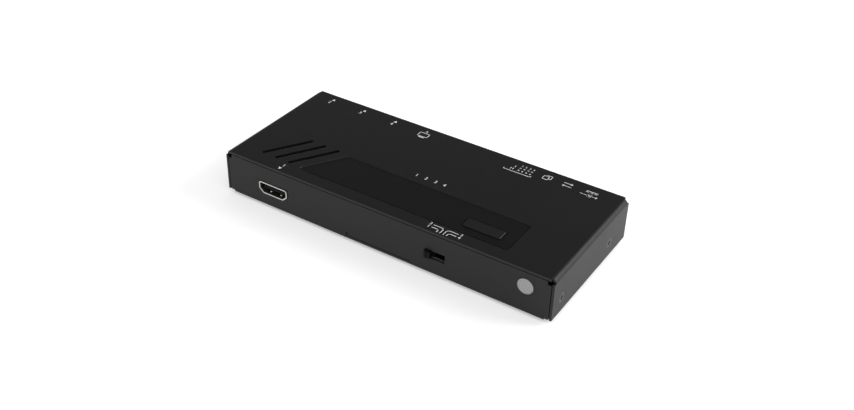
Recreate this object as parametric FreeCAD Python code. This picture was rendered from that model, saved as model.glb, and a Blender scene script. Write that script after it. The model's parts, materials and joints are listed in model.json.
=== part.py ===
import FreeCAD, Part
import math
import os

V = FreeCAD.Vector

# All sizes are millimetres. X runs left to right, +Y to the rear, +Z up.
# The origin is on the surface that the feet stand on, below the middle of the housing.

# Housing
LENGTH = 160.0
DEPTH = 66.0
HEIGHT = 20.3
SHEET = 1.0
BEND_R = 2.5
TRAY_END_R = 2.0
TRAY_EDGE_R = 1.5
FOOT_H = 1.5
FOOT_R = 4.5
FOOT_FROM_END = 11.0
FOOT_FROM_EDGE = 9.0
SEAM = 0.35
FLANGE_GAP = 0.05
FLANGE_H = 12.5
FLANGE_RELIEF = 0.8
END_PLATE_LIFT = 0.8
CORNER_RELIEF = 1.7
RELIEF_DEPTH = 1.1

# Slanted vents and the recessed panel, all leaning the same way
SLANT = 0.61
VENT_W = 2.0
VENT_COUNT = 3
VENT_FROM_END = 20.1
VENT_PITCH = 7.15
PANEL_FROM_FRONT = 6.1
PANEL_D = 20.6
PANEL_FROM_LEFT = 45.9
PANEL_FROM_RIGHT = 23.7
PANEL_CORNER_R = 1.6
RECESS = 0.5
RECESS_DRAFT = 0.45
OVERLAY_T = 0.25
OVERLAY_GAP = 0.2

# Board and what carries it
STANDOFF_H = 3.2
STANDOFF_R = 2.6
BOARD_T = 1.6
BOARD_EDGE_GAP = 0.4
BOARD_END_GAP = 3.4
BOARD_SCREW_R = 1.45
BOARD_SCREW_HEAD_R = 2.7
BOARD_SCREW_HEAD_H = 1.8
BOARD_SCREW_FROM_END = 10.0
BOARD_SCREW_Y = (-18.0, 12.0)
SOLDER_GAP = 0.1

# Screws through the end plates
END_SCREW_R = 1.25
END_SCREW_HEAD_R = 2.3
END_SCREW_LENGTH = 4.4
END_SCREW_Z = 7.7
END_SCREW_Y = (-25.6, 16.6)
END_BOSS_R = 2.4
END_BOSS_L = 1.9
CROSS_W = 0.5
CROSS_L = 2.2
CROSS_DEPTH = 0.8
SCREW_FIT = 0.06

# Audio-video receptacle: mouth, shell, tongue and contacts
MOUTH_W = 14.0
MOUTH_H = 4.55
MOUTH_KNEE = 0.5
MOUTH_BOTTOM = 10.2
MOUTH_R = 0.6
SHELL_T = 0.5
SHELL_L = 11.6
SHELL_PROUD = 0.3
PORT_GAP = 0.2
FINGER_W = 1.5
FINGER_L = 4.6
FINGER_CUT = 0.3
FINGER_FROM_RIM = 1.8
FINGER_SPREAD = 5.3
DIMPLE_H = 0.35
INSERT_L = 3.0
TONGUE_W = 11.4
TONGUE_T = 1.4
TONGUE_SETBACK = 1.3
CONTACT_W = 0.4
CONTACT_T = 0.12
CONTACT_PITCH = 1.0
UPPER_CONTACT_COUNT = 10
LOWER_CONTACT_COUNT = 9
FRONT_PORT_FROM_END = 25.5
REAR_PORT_FROM_END = 12.0
REAR_PORT_PITCH = 17.06

# Small switches: body, bore and plunger
SWITCH_W = 6.0
SWITCH_H = 3.5
PLUNGER_R = 1.7
PLUNGER_PROUD = 1.1
PLUNGER_INSIDE = 1.1
PLUNGER_FIT = 0.12
PRESS = 0.6
PRESS_ROOM = 0.3

# Select button in the panel
SELECT_FROM_RIGHT = 15.1
SELECT_FROM_FRONT = 7.8
SELECT_W = 17.3
SELECT_D = 5.8
SELECT_R = 0.7
SELECT_GAP = 0.45
SELECT_PROUD = 0.35
SELECT_EDGE = 0.25
SELECT_LIP = 1.2
SELECT_LIP_T = 0.9
SELECT_LIP_GAP = 0.25
SELECT_STEM_W = 3.2
SELECT_RIB_T = 1.1

# Round standby button on the front
STANDBY_FROM_END = 12.1
STANDBY_Z = 12.45
STANDBY_R = 3.55
STANDBY_GAP = 0.15
STANDBY_PROUD = 0.45
STANDBY_EDGE = 0.35
STANDBY_FLANGE = 1.0
STANDBY_FLANGE_T = 0.8
STANDBY_FLANGE_GAP = 0.25
STANDBY_RINGS = (0.9, 1.6, 2.3, 3.0)
STANDBY_RING_W = 0.3
STANDBY_RING_DEPTH = 0.16
STANDBY_STEM_R = 1.5
STANDBY_BOARD_W = 13.0
STANDBY_BOARD_H = 10.4
STANDBY_BOARD_T = 1.2
STANDBY_STEM_L = 1.2

# Four-position mode slider on the front
MODE_FROM_END = 52.7
MODE_Z = 9.15
MODE_WINDOW_W = 9.6
MODE_WINDOW_H = 3.9
MODE_KNOB_W = 2.7
MODE_KNOB_H = 3.2
MODE_KNOB_PROUD = 1.2
MODE_KNOB_GAP = 0.25
MODE_RIBS = 3
MODE_RIB_DEPTH = 0.25
MODE_BODY_W = 16.0
MODE_BODY_H = 6.4
MODE_BODY_D = 5.0
MODE_WALL = 1.0
MODE_FRAME_T = 0.4
MODE_NECK_H = 1.6
MODE_CARRIAGE_W = 4.4
MODE_FIT = 0.12
MODE_STRIP_H = 0.5
MODE_STRIP_T = 0.15

# Slit with a relief nick, low on the front
SLIT_L = 32.0
SLIT_H = 0.5
SLIT_Z = 1.45
NICK_H = 1.5

# Rear panel: four-way option switch, copy button, serial jack and power jack
DIP_FROM_END = 45.2
DIP_COUNT = 4
DIP_PITCH = 2.54
DIP_BODY_W = 11.7
DIP_BODY_H = 6.2
DIP_BODY_D = 5.0
DIP_SLIDER_W = 1.3
DIP_SLIDER_H = 1.4
DIP_SLIDER_L = 2.4
DIP_SLIDER_PROUD = 0.7
DIP_TRAVEL = 1.6
DIP_FIT = 0.1
DIP_SLOT_DEPTH = 2.6
DIP_WINDOW_ROOM = 0.5
COPY_FROM_END = 35.3
COPY_Z = 3.4
COPY_R = 1.5
COPY_HOLE_GAP = 0.2
COPY_PROUD = 0.4
COPY_SWITCH_D = 4.5
SERIAL_FROM_END = 25.6
SERIAL_BORE_R = 1.8
SERIAL_W = 6.6
SERIAL_H = 5.6
SERIAL_D = 12.5
SERIAL_BACK_WALL = 1.2
SERIAL_COLLAR_R = 2.9
SERIAL_PROUD = 0.2
JACK_HOLE_GAP = 0.15
POWER_FROM_END = 14.5
POWER_W = 9.0
POWER_H = 10.8
POWER_D = 13.0
POWER_Z = 6.4
POWER_SNOUT_R = 3.9
POWER_BORE_R = 3.15
POWER_BORE_L = 9.5
POWER_PIN_R = 1.05
POWER_SLEEVE_T = 0.2
POWER_SLEEVE_L = 7.0

# Lights under the panel
LED_FROM_LEFT = 32.7
LED_FROM_BACK = 2.9
LED_COUNT = 4
LED_PITCH = 4.6
LED_W = 1.6
LED_D = 1.2
LED_H = 0.8
LED_GAP = 0.1
PIPE_W = 1.6
PIPE_FIT = 0.12
PIPE_BAR_W = 2.4
PIPE_BAR_T = 1.6
PIPE_BAR_DROP = 4.0

# Parts on the board
CHIP_FROM_END = 28.0
CHIP_FROM_FRONT = 27.0
CHIP_W = 14.0
CHIP_T = 1.4
PAD_T = 0.5
SINK_W = 22.0
SINK_BASE = 1.6
SINK_FINS = 8
SINK_FIN_T = 0.9
SINK_FIN_H = 5.0
CONTROL_FROM_END = 66.0
CONTROL_Y = 8.0
CONTROL_W = 10.0
CONTROL_T = 1.2
CAN_R = 3.15
CAN_H = 5.4
CAN_BASE_T = 0.8
CAN_FROM_END = 34.0
CAN_PITCH = 8.0
CAN_COUNT = 3
CAN_Y = 4.0
COIL_FROM_END = 28.0
COIL_Y = -6.0
COIL_W = 7.0
COIL_T = 3.4
COIL_R = 2.6
COIL_CORE_T = 0.6
CRYSTAL_X = -8.0
CRYSTAL_Y = 8.0
CRYSTAL_L = 11.0
CRYSTAL_W = 4.4
CRYSTAL_H = 3.4

# Levels and faces worked out from the sizes above
BASE = FOOT_H
TOP = BASE + HEIGHT
FRONT = -DEPTH / 2
REAR = DEPTH / 2
END = LENGTH / 2
PANEL_END = END - SHEET - SEAM
FLANGE_X = END - SHEET - FLANGE_GAP
WALL_TOP = TOP - SHEET - SEAM
BOARD_LOW = BASE + SHEET + STANDOFF_H
BOARD_TOP = BOARD_LOW + BOARD_T
PORT_Z = BOARD_TOP + SOLDER_GAP + SHELL_T + MOUTH_H / 2
RECESS_Z = TOP - RECESS
OVERLAY_TOP = RECESS_Z + OVERLAY_T
PANEL_FRONT_Y = FRONT + PANEL_FROM_FRONT
PANEL_BACK_Y = PANEL_FRONT_Y + PANEL_D
PANEL_LEFT_X = -END + PANEL_FROM_LEFT
PANEL_RIGHT_X = END - PANEL_FROM_RIGHT
SELECT_X = PANEL_RIGHT_X - SELECT_FROM_RIGHT
SELECT_Y = PANEL_FRONT_Y + SELECT_FROM_FRONT
LED_X = PANEL_LEFT_X + LED_FROM_LEFT
LED_Y = PANEL_BACK_Y - LED_FROM_BACK
CHIP_X = -END + CHIP_FROM_END
CHIP_Y = FRONT + CHIP_FROM_FRONT
CONTROL_X = END - CONTROL_FROM_END
COIL_X = END - COIL_FROM_END
PAD_LOW = RECESS_Z - SHEET
SCREW_Z = BASE + END_SCREW_Z
STANDBY_X = END - STANDBY_FROM_END
STANDBY_AXIS_Z = BASE + STANDBY_Z
COPY_X = END - COPY_FROM_END
COPY_AXIS_Z = BOARD_TOP + COPY_Z
SERIAL_X = END - SERIAL_FROM_END
SERIAL_Z = BOARD_TOP + SERIAL_H / 2
POWER_X = END - POWER_FROM_END
POWER_AXIS_Z = BOARD_TOP + POWER_Z
MODE_AXIS_Z = BASE + MODE_Z
MODE_X = END - MODE_FROM_END
MODE_TRAVEL = MODE_WINDOW_W - MODE_KNOB_W - 2 * MODE_KNOB_GAP
MODE_KNOB_X = MODE_X - MODE_TRAVEL / 2
DIP_X = END - DIP_FROM_END
DIP_Z = BOARD_TOP + DIP_BODY_H / 2
DIP_FIRST_X = DIP_X - DIP_PITCH * (DIP_COUNT - 1) / 2
DIP_SLIDER_Z = DIP_Z - DIP_TRAVEL / 2
REAR_INNER = REAR - SHEET
FRONT_INNER = FRONT + SHEET
BACK_SEAT = REAR_INNER - FLANGE_GAP
FRONT_SEAT = FRONT_INNER + FLANGE_GAP

PLANES = {
    "XY": (lambda u, v, level: V(u, v, level), V(0, 0, 1)),
    "XZ": (lambda u, v, level: V(u, level, v), V(0, 1, 0)),
    "YZ": (lambda u, v, level: V(level, u, v), V(1, 0, 0)),
}


def span(centre, width):
    """Low and high ends of a width about its centre."""
    return centre - width / 2, centre + width / 2


def box(x, y, z):
    """Block between three pairs of limits."""
    return Part.makeBox(x[1] - x[0], y[1] - y[0], z[1] - z[0], V(x[0], y[0], z[0]))


def rod(radius, start, end):
    """Cylinder from one point to another."""
    return Part.makeCylinder(radius, (end - start).Length, start, end - start)


def corner_rays(corners, index):
    """A corner's point and the unit directions to the corners beside it."""
    here = V(corners[index][0], corners[index][1], 0)
    last = corners[index - 1]
    following = corners[(index + 1) % len(corners)]
    back = (V(last[0], last[1], 0) - here).normalize()
    ahead = (V(following[0], following[1], 0) - here).normalize()
    return here, back, ahead


def outline(corners, plane, level):
    """Closed wire through corners given as (u, v, radius) on a plane."""
    place = PLANES[plane][0]
    turns = []
    for index, corner in enumerate(corners):
        radius = corner[2]
        here, back, ahead = corner_rays(corners, index)
        if radius <= 0:
            turns.append([here])
            continue
        half = back.getAngle(ahead) / 2
        inward = (back + ahead).normalize()
        run = radius / math.tan(half)
        middle = here + inward * (radius / math.sin(half) - radius)
        turns.append([here + back * run, middle, here + ahead * run])
    edges = []
    for index, turn in enumerate(turns):
        points = [place(point.x, point.y, level) for point in turn]
        if len(points) == 3:
            edges.append(Part.Arc(points[0], points[1], points[2]).toShape())
        start = turns[(index + 1) % len(turns)][0]
        target = place(start.x, start.y, level)
        edges.append(Part.LineSegment(points[-1], target).toShape())
    return Part.Wire(edges)


def prism(corners, plane, start, end):
    """Solid with a rounded outline, extruded square to its plane."""
    face = Part.Face(outline(corners, plane, start))
    return face.extrude(PLANES[plane][1] * (end - start))


def grown(corners, distance):
    """The same convex outline moved outwards, with its radii."""
    moved = []
    for index, corner in enumerate(corners):
        here, back, ahead = corner_rays(corners, index)
        half = back.getAngle(ahead) / 2
        shift = (back + ahead).normalize() * (-distance / math.sin(half))
        moved.append((here.x + shift.x, here.y + shift.y, max(corner[2] + distance, 0)))
    return moved


def rectangle(centre_u, centre_v, width, height, radius):
    """Corners of a rounded rectangle."""
    left, right = span(centre_u, width)
    low, high = span(centre_v, height)
    return [(left, low, radius), (right, low, radius), (right, high, radius), (left, high, radius)]


def save(name, shapes):
    """Write one solid, or a group of separate solids, under its node's name."""
    group = shapes if isinstance(shapes, list) else [shapes]
    solids = [solid for shape in group for solid in shape.Solids]
    whole = solids[0] if len(solids) == 1 else Part.makeCompound(solids)
    whole.exportStep(os.path.join("parts", name + ".step"))


def panel_corners():
    """Recessed panel seen from above: its left side leans with the vents."""
    left_front = PANEL_LEFT_X - SLANT * (PANEL_BACK_Y - PANEL_FRONT_Y)
    return [
        (left_front, PANEL_FRONT_Y, PANEL_CORNER_R),
        (PANEL_RIGHT_X, PANEL_FRONT_Y, PANEL_CORNER_R),
        (PANEL_RIGHT_X, PANEL_BACK_Y, PANEL_CORNER_R),
        (PANEL_LEFT_X, PANEL_BACK_Y, PANEL_CORNER_R),
    ]


def drafted(low_corners, low_z, high_corners, high_z):
    """Block whose outline changes evenly with height."""
    low = outline(low_corners, "XY", low_z)
    high = outline(high_corners, "XY", high_z)
    return Part.makeLoft([low, high], True, True)


def vent(index):
    """One slanted slot with round ends, as a cutter."""
    middle_x = -END + VENT_FROM_END + VENT_PITCH * index
    middle_y = (PANEL_BACK_Y + PANEL_FRONT_Y) / 2 + VENT_W / 2
    reach = (PANEL_BACK_Y - PANEL_FRONT_Y) / 2 - VENT_W / 2
    along = V(SLANT, 1, 0).normalize()
    across = V(along.y, -along.x, 0) * (VENT_W / 2)
    ends = [V(middle_x + side * SLANT * reach, middle_y + side * reach, PAD_LOW) for side in (-1, 1)]
    first, second = ends
    edges = [
        Part.LineSegment(first + across, second + across).toShape(),
        Part.Arc(second + across, second + along * (VENT_W / 2), second - across).toShape(),
        Part.LineSegment(second - across, first - across).toShape(),
        Part.Arc(first - across, first - along * (VENT_W / 2), first + across).toShape(),
    ]
    return Part.Face(Part.Wire(edges)).extrude(V(0, 0, TOP + SHEET - PAD_LOW))


def select_outline(grow):
    """Select button's outline, larger by a margin."""
    return rectangle(
        SELECT_X, SELECT_Y, SELECT_W + 2 * grow, SELECT_D + 2 * grow, SELECT_R + grow
    )


def end_screw_places():
    """Side and depth of each screw in the end plates."""
    return [(side, y) for side in (-1, 1) for y in END_SCREW_Y]


def cover_profile(inset):
    """Cover's outer or inner profile, seen from the front."""
    half = END - inset
    low = BASE + END_PLATE_LIFT - (SHEET if inset else 0)
    bend = BEND_R - inset
    return [(-half, low, 0), (half, low, 0), (half, TOP - inset, bend), (-half, TOP - inset, bend)]


def top_cover():
    """Folded cover: top and both end plates, pressed recess, vents and bend reliefs."""
    cover = prism(cover_profile(0), "XZ", FRONT, REAR)
    cover = cover.cut(prism(cover_profile(SHEET), "XZ", FRONT - SHEET, REAR + SHEET))
    floor = grown(panel_corners(), -RECESS_DRAFT)
    pad_rim = grown(panel_corners(), RECESS_DRAFT)
    cover = cover.fuse(drafted(panel_corners(), PAD_LOW, pad_rim, TOP - SHEET))
    cutters = [drafted(floor, RECESS_Z, panel_corners(), TOP)]
    cutters.append(prism(select_outline(SELECT_GAP), "XY", PAD_LOW - SHEET, TOP))
    for index in range(VENT_COUNT):
        cutters.append(vent(index))
    for index in range(LED_COUNT):
        x = LED_X + LED_PITCH * index
        hole_w = PIPE_W + 2 * PIPE_FIT
        cutters.append(box(span(x, hole_w), span(LED_Y, hole_w), (PAD_LOW - SHEET, TOP)))
    for side in (-1, 1):
        x = sorted((side * (END - CORNER_RELIEF), side * (END + SHEET)))
        for edge in (-1, 1):
            y = sorted((edge * (REAR - RELIEF_DEPTH), edge * (REAR + SHEET)))
            cutters.append(box(x, y, (TOP - CORNER_RELIEF - SHEET / 2, TOP + SHEET)))
    for side, y in end_screw_places():
        outer = V(side * END, y, SCREW_Z)
        inward = V(-side, 0, 0)
        narrow = END_SCREW_R + SCREW_FIT
        wide = END_SCREW_HEAD_R + SCREW_FIT
        cutters.append(Part.makeCone(wide, narrow, SHEET, outer, inward))
    return cover.cut(cutters).removeSplitter()


def tray_block(inset):
    """Tray's outer or inner block, with its bottom bends rounded both ways."""
    half = FLANGE_X - inset
    reach = REAR - inset
    low = BASE + inset
    ends = [
        (-half, low, TRAY_END_R - inset),
        (half, low, TRAY_END_R - inset),
        (half, WALL_TOP + inset, 0),
        (-half, WALL_TOP + inset, 0),
    ]
    sides = [
        (-reach, low, TRAY_EDGE_R - inset),
        (reach, low, TRAY_EDGE_R - inset),
        (reach, WALL_TOP + inset, 0),
        (-reach, WALL_TOP + inset, 0),
    ]
    return prism(ends, "XZ", -reach, reach).common(prism(sides, "YZ", -half, half))


def tray_end_cutters():
    """Cuts that lower the end flanges, free them at the corners and notch the walls."""
    cutters = []
    for side in (-1, 1):
        flange = sorted((side * (FLANGE_X - SHEET), side * END))
        corner = sorted((side * (PANEL_END - CORNER_RELIEF), side * END))
        trim = sorted((side * PANEL_END, side * END))
        cutters.append(box(flange, (-REAR_INNER, REAR_INNER), (BASE + FLANGE_H, TOP)))
        for edge in (-1, 1):
            relief = sorted((edge * REAR_INNER, edge * (REAR_INNER - FLANGE_RELIEF)))
            wall = sorted((edge * REAR_INNER, edge * (REAR + SHEET)))
            cutters.append(box(flange, relief, (BASE + TRAY_END_R, TOP)))
            cutters.append(box(corner, wall, (WALL_TOP - CORNER_RELIEF, TOP)))
            cutters.append(box(trim, wall, (BASE, TOP)))
    return cutters


def front_cutters():
    """Openings in the front wall."""
    y = (FRONT - SHEET, FRONT_INNER + TRAY_EDGE_R)
    port_x = -END + FRONT_PORT_FROM_END
    port = [(u + port_x, v + PORT_Z, 0) for u, v, _ in grown(mouth(), SHELL_T + PORT_GAP)]
    mode = rectangle(MODE_X, MODE_AXIS_Z, MODE_WINDOW_W, MODE_WINDOW_H, 0)
    slit_z = span(BASE + SLIT_Z, SLIT_H)
    nick_z = (slit_z[0], slit_z[1] + NICK_H)
    return [
        prism(port, "XZ", y[0], y[1]),
        prism(mode, "XZ", y[0], y[1]),
        rod(STANDBY_R + STANDBY_GAP, standby_point(y[0]), standby_point(y[1])),
        box(span(0, SLIT_L), (y[0], FRONT_INNER), slit_z),
        box((-SLIT_L / 2, -SLIT_L / 2 + SLIT_H), (y[0], FRONT_INNER), nick_z),
    ]


def rear_port_places():
    """Centres of the receptacles along the rear, inputs first and output last."""
    return [-END + REAR_PORT_FROM_END + REAR_PORT_PITCH * index for index in range(4)]


def rear_cutters():
    """Openings in the rear wall."""
    y = (REAR_INNER - TRAY_EDGE_R, REAR + SHEET)
    cutters = []
    for x in rear_port_places():
        port = [(u + x, v + PORT_Z, 0) for u, v, _ in grown(mouth(), SHELL_T + PORT_GAP)]
        cutters.append(prism(port, "XZ", y[0], y[1]))
    window_w = DIP_PITCH * (DIP_COUNT - 1) + DIP_SLIDER_W + 2 * DIP_WINDOW_ROOM
    window_h = DIP_SLIDER_H + DIP_TRAVEL + 2 * DIP_WINDOW_ROOM
    cutters.append(prism(rectangle(DIP_X, DIP_Z, window_w, window_h, 0), "XZ", y[0], y[1]))
    rounds = (
        (COPY_R + COPY_HOLE_GAP, COPY_X, COPY_AXIS_Z),
        (SERIAL_COLLAR_R + JACK_HOLE_GAP, SERIAL_X, SERIAL_Z),
        (POWER_SNOUT_R + JACK_HOLE_GAP, POWER_X, POWER_AXIS_Z),
    )
    for radius, x, z in rounds:
        cutters.append(rod(radius, V(x, y[0], z), V(x, y[1], z)))
    return cutters


def chassis():
    """Folded tray: bottom, front and rear walls, and low end flanges with screw bosses."""
    tray = tray_block(0).cut(tray_block(SHEET))
    tray = tray.cut(tray_end_cutters())
    bosses = []
    for side, y in end_screw_places():
        inner = FLANGE_X - SHEET
        bosses.append(
            rod(END_BOSS_R, V(side * (inner - END_BOSS_L), y, SCREW_Z), V(side * inner, y, SCREW_Z))
        )
    tray = tray.fuse(bosses)
    holes = []
    for side, y in end_screw_places():
        start = V(side * END, y, SCREW_Z)
        inward = V(-side * 2 * END_SCREW_LENGTH, 0, 0)
        holes.append(rod(END_SCREW_R + SCREW_FIT, start, start + inward))
    return tray.cut(holes + front_cutters() + rear_cutters()).removeSplitter()


def cover_screws():
    """Countersunk screws with cross recesses, flush with the end plates."""
    screws = []
    for side, y in end_screw_places():
        outer = V(side * END, y, SCREW_Z)
        inward = V(-side, 0, 0)
        head = Part.makeCone(END_SCREW_HEAD_R, END_SCREW_R, SHEET, outer, inward)
        shank = rod(END_SCREW_R, outer, outer + inward * END_SCREW_LENGTH)
        reach = sorted((side * END, side * (END - CROSS_DEPTH)))
        cross = [
            box(reach, span(y, CROSS_L), span(SCREW_Z, CROSS_W)),
            box(reach, span(y, CROSS_W), span(SCREW_Z, CROSS_L)),
        ]
        screws.append(head.fuse(shank).cut(cross).removeSplitter())
    return screws


def rubber_feet():
    """Round pads under the four corners."""
    feet = []
    for x in (-END + FOOT_FROM_END, END - FOOT_FROM_END):
        for y in (FRONT + FOOT_FROM_EDGE, REAR - FOOT_FROM_EDGE):
            feet.append(rod(FOOT_R, V(x, y, 0), V(x, y, FOOT_H)))
    return feet


def panel_overlay():
    """Thin dark film on the recess floor, open at the select button."""
    rim = grown(panel_corners(), -RECESS_DRAFT - OVERLAY_GAP)
    film = prism(rim, "XY", RECESS_Z, OVERLAY_TOP)
    return film.cut(prism(select_outline(SELECT_GAP), "XY", RECESS_Z - SHEET, TOP))


def switch_body(centre, axis):
    """Small press switch: square body with a bore for its plunger."""
    half = SWITCH_W / 2
    body = Part.makeBox(SWITCH_W, SWITCH_W, SWITCH_H, V(-half, -half, 0))
    depth = PLUNGER_INSIDE + PRESS + PRESS_ROOM
    bore = Part.makeCylinder(PLUNGER_R + PLUNGER_FIT, depth, V(0, 0, SWITCH_H - depth))
    body = body.cut(bore)
    body.Placement = FreeCAD.Placement(centre, FreeCAD.Rotation(V(0, 0, 1), axis))
    return body


def switch_plunger(centre, axis):
    """Plunger of a small press switch, at rest."""
    start = centre + axis * (SWITCH_H - PLUNGER_INSIDE)
    return rod(PLUNGER_R, start, centre + axis * (SWITCH_H + PLUNGER_PROUD))


def select_button():
    """Cap with a retaining lip under the cover and a cross-shaped stem to its switch."""
    cap_top = OVERLAY_TOP + SELECT_PROUD
    lip_top = PAD_LOW - SELECT_LIP_GAP
    lip_low = lip_top - SELECT_LIP_T
    stem_low = BOARD_TOP + SWITCH_H + PLUNGER_PROUD
    cap = prism(select_outline(0), "XY", lip_top, cap_top)
    rim = [edge for edge in cap.Edges if edge.BoundBox.ZMin > cap_top - SELECT_EDGE]
    cap = cap.makeChamfer(SELECT_EDGE, rim)
    lip = prism(select_outline(SELECT_LIP), "XY", lip_low, lip_top)
    stem = [
        box(span(SELECT_X, SELECT_STEM_W), span(SELECT_Y, SELECT_RIB_T), (stem_low, lip_low)),
        box(span(SELECT_X, SELECT_RIB_T), span(SELECT_Y, SELECT_STEM_W), (stem_low, lip_low)),
    ]
    return cap.fuse([lip] + stem).removeSplitter()


def standby_levels():
    """Depths of the standby button's flange, stem and switch, front to back."""
    flange_front = FRONT_INNER + STANDBY_FLANGE_GAP
    flange_back = flange_front + STANDBY_FLANGE_T
    stem_back = flange_back + STANDBY_STEM_L
    switch_front = stem_back + PLUNGER_PROUD
    board_front = switch_front + SWITCH_H
    return flange_front, flange_back, stem_back, board_front


def standby_point(y):
    """Point on the standby button's axis."""
    return V(STANDBY_X, y, STANDBY_AXIS_Z)


def standby_button():
    """Round ringed cap with a flange behind the front wall."""
    flange_front, flange_back, stem_back, _ = standby_levels()
    face = FRONT - STANDBY_PROUD
    cap = rod(STANDBY_R, standby_point(face), standby_point(flange_front))
    rim = [edge for edge in cap.Edges if edge.BoundBox.YMax < face + STANDBY_EDGE]
    cap = cap.makeChamfer(STANDBY_EDGE, rim)
    flange = rod(STANDBY_R + STANDBY_FLANGE, standby_point(flange_front), standby_point(flange_back))
    stem = rod(STANDBY_STEM_R, standby_point(flange_back), standby_point(stem_back))
    grooves = []
    for radius in STANDBY_RINGS:
        floor = face + STANDBY_RING_DEPTH
        outer = rod(radius + STANDBY_RING_W / 2, standby_point(face - SHEET), standby_point(floor))
        inner = rod(radius - STANDBY_RING_W / 2, standby_point(face - SHEET), standby_point(floor))
        grooves.append(outer.cut(inner))
    return cap.fuse([flange, stem]).cut(grooves).removeSplitter()


def standby_board():
    """Small upright board behind the standby button."""
    front = standby_levels()[3]
    y = (front, front + STANDBY_BOARD_T)
    return box(span(STANDBY_X, STANDBY_BOARD_W), y, (BOARD_TOP, BOARD_TOP + STANDBY_BOARD_H))


def standby_led():
    """Lamp that lights the standby button from behind, on its board."""
    front = standby_levels()[3]
    x = span(STANDBY_X + SWITCH_W / 2 + LED_W, LED_W)
    return box(x, (front - LED_H, front), span(STANDBY_AXIS_Z, 2 * LED_D))


def mode_switch_body():
    """Plastic base of the slide switch, open to the front."""
    back = FRONT_SEAT + MODE_FRAME_T + MODE_BODY_D
    front = FRONT_SEAT + MODE_FRAME_T
    block = box(span(MODE_X, MODE_BODY_W), (front, back), span(MODE_AXIS_Z, MODE_BODY_H))
    cavity_w = MODE_BODY_W - 2 * MODE_WALL
    cavity_h = MODE_BODY_H - 2 * MODE_WALL
    cavity = box(span(MODE_X, cavity_w), (front - SHEET, back - MODE_WALL), span(MODE_AXIS_Z, cavity_h))
    post = box(span(MODE_X, MODE_BODY_W), (front, back), (BOARD_TOP, MODE_AXIS_Z - MODE_BODY_H / 2))
    return block.cut(cavity).fuse(post).removeSplitter()


def mode_switch_frame():
    """Steel plate in front of the base, slotted for the knob's neck."""
    y = (FRONT_SEAT, FRONT_SEAT + MODE_FRAME_T)
    plate = box(span(MODE_X, MODE_BODY_W), y, span(MODE_AXIS_Z, MODE_BODY_H))
    slot_y = (y[0] - SHEET, y[1] + SHEET)
    slot_h = MODE_WINDOW_H - MODE_WALL
    slot = box(span(MODE_X, MODE_WINDOW_W - MODE_WALL), slot_y, span(MODE_AXIS_Z, slot_h))
    return plate.cut(slot)


def mode_switch_knob():
    """Ribbed knob through the window, its neck and the carriage behind the frame."""
    frame_back = FRONT_SEAT + MODE_FRAME_T
    base_wall = frame_back + MODE_BODY_D - MODE_WALL
    carriage_y = (frame_back + MODE_FIT, base_wall - 2 * MODE_FIT - MODE_STRIP_T)
    carriage_h = MODE_BODY_H - 2 * MODE_WALL - 2 * MODE_FIT
    carriage = box(span(MODE_KNOB_X, MODE_CARRIAGE_W), carriage_y, span(MODE_AXIS_Z, carriage_h))
    neck_y = (FRONT, carriage_y[0])
    neck_w = MODE_KNOB_W - MODE_WALL
    neck = box(span(MODE_KNOB_X, neck_w), neck_y, span(MODE_AXIS_Z, MODE_NECK_H))
    face = FRONT - MODE_KNOB_PROUD
    knob_y = (face, FRONT_SEAT - MODE_FIT)
    knob = box(span(MODE_KNOB_X, MODE_KNOB_W), knob_y, span(MODE_AXIS_Z, MODE_KNOB_H))
    pitch = MODE_KNOB_W / (MODE_RIBS + 0.5)
    grooves = []
    for index in range(MODE_RIBS - 1):
        x = MODE_KNOB_X + pitch * (index - (MODE_RIBS - 2) / 2)
        groove_y = (face - SHEET, face + MODE_RIB_DEPTH)
        grooves.append(box(span(x, pitch / 2), groove_y, span(MODE_AXIS_Z, MODE_BODY_H)))
    return carriage.fuse([neck, knob]).cut(grooves).removeSplitter()


def mode_switch_contacts():
    """Two brass strips on the back wall of the slide switch's base."""
    wall = FRONT_SEAT + MODE_FRAME_T + MODE_BODY_D - MODE_WALL
    strips = []
    for side in (-1, 1):
        z = MODE_AXIS_Z + side * MODE_STRIP_H
        x = span(MODE_X, MODE_BODY_W - 2 * MODE_WALL)
        strips.append(box(x, (wall - MODE_STRIP_T, wall), span(z, MODE_STRIP_H)))
    return strips


def mouth():
    """Receptacle's mouth about its own centre, with slanted lower corners."""
    half = MOUTH_W / 2
    foot = MOUTH_BOTTOM / 2
    top = MOUTH_H / 2
    return [
        (-foot, -top, MOUTH_R),
        (foot, -top, MOUTH_R),
        (half, -MOUTH_KNEE, MOUTH_R),
        (half, top, MOUTH_R),
        (-half, top, MOUTH_R),
        (-half, -MOUTH_KNEE, MOUTH_R),
    ]


def finger_cutters(x, wall_z):
    """Three thin cuts that free a spring finger in a shell wall."""
    side_x = (FINGER_W + FINGER_CUT) / 2
    start = FINGER_FROM_RIM
    end = FINGER_FROM_RIM + FINGER_L
    cuts = [box(span(x + side * side_x, FINGER_CUT), (start, end), wall_z) for side in (-1, 1)]
    cuts.append(box(span(x, FINGER_W + 2 * FINGER_CUT), (start, start + FINGER_CUT), wall_z))
    return cuts


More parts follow.
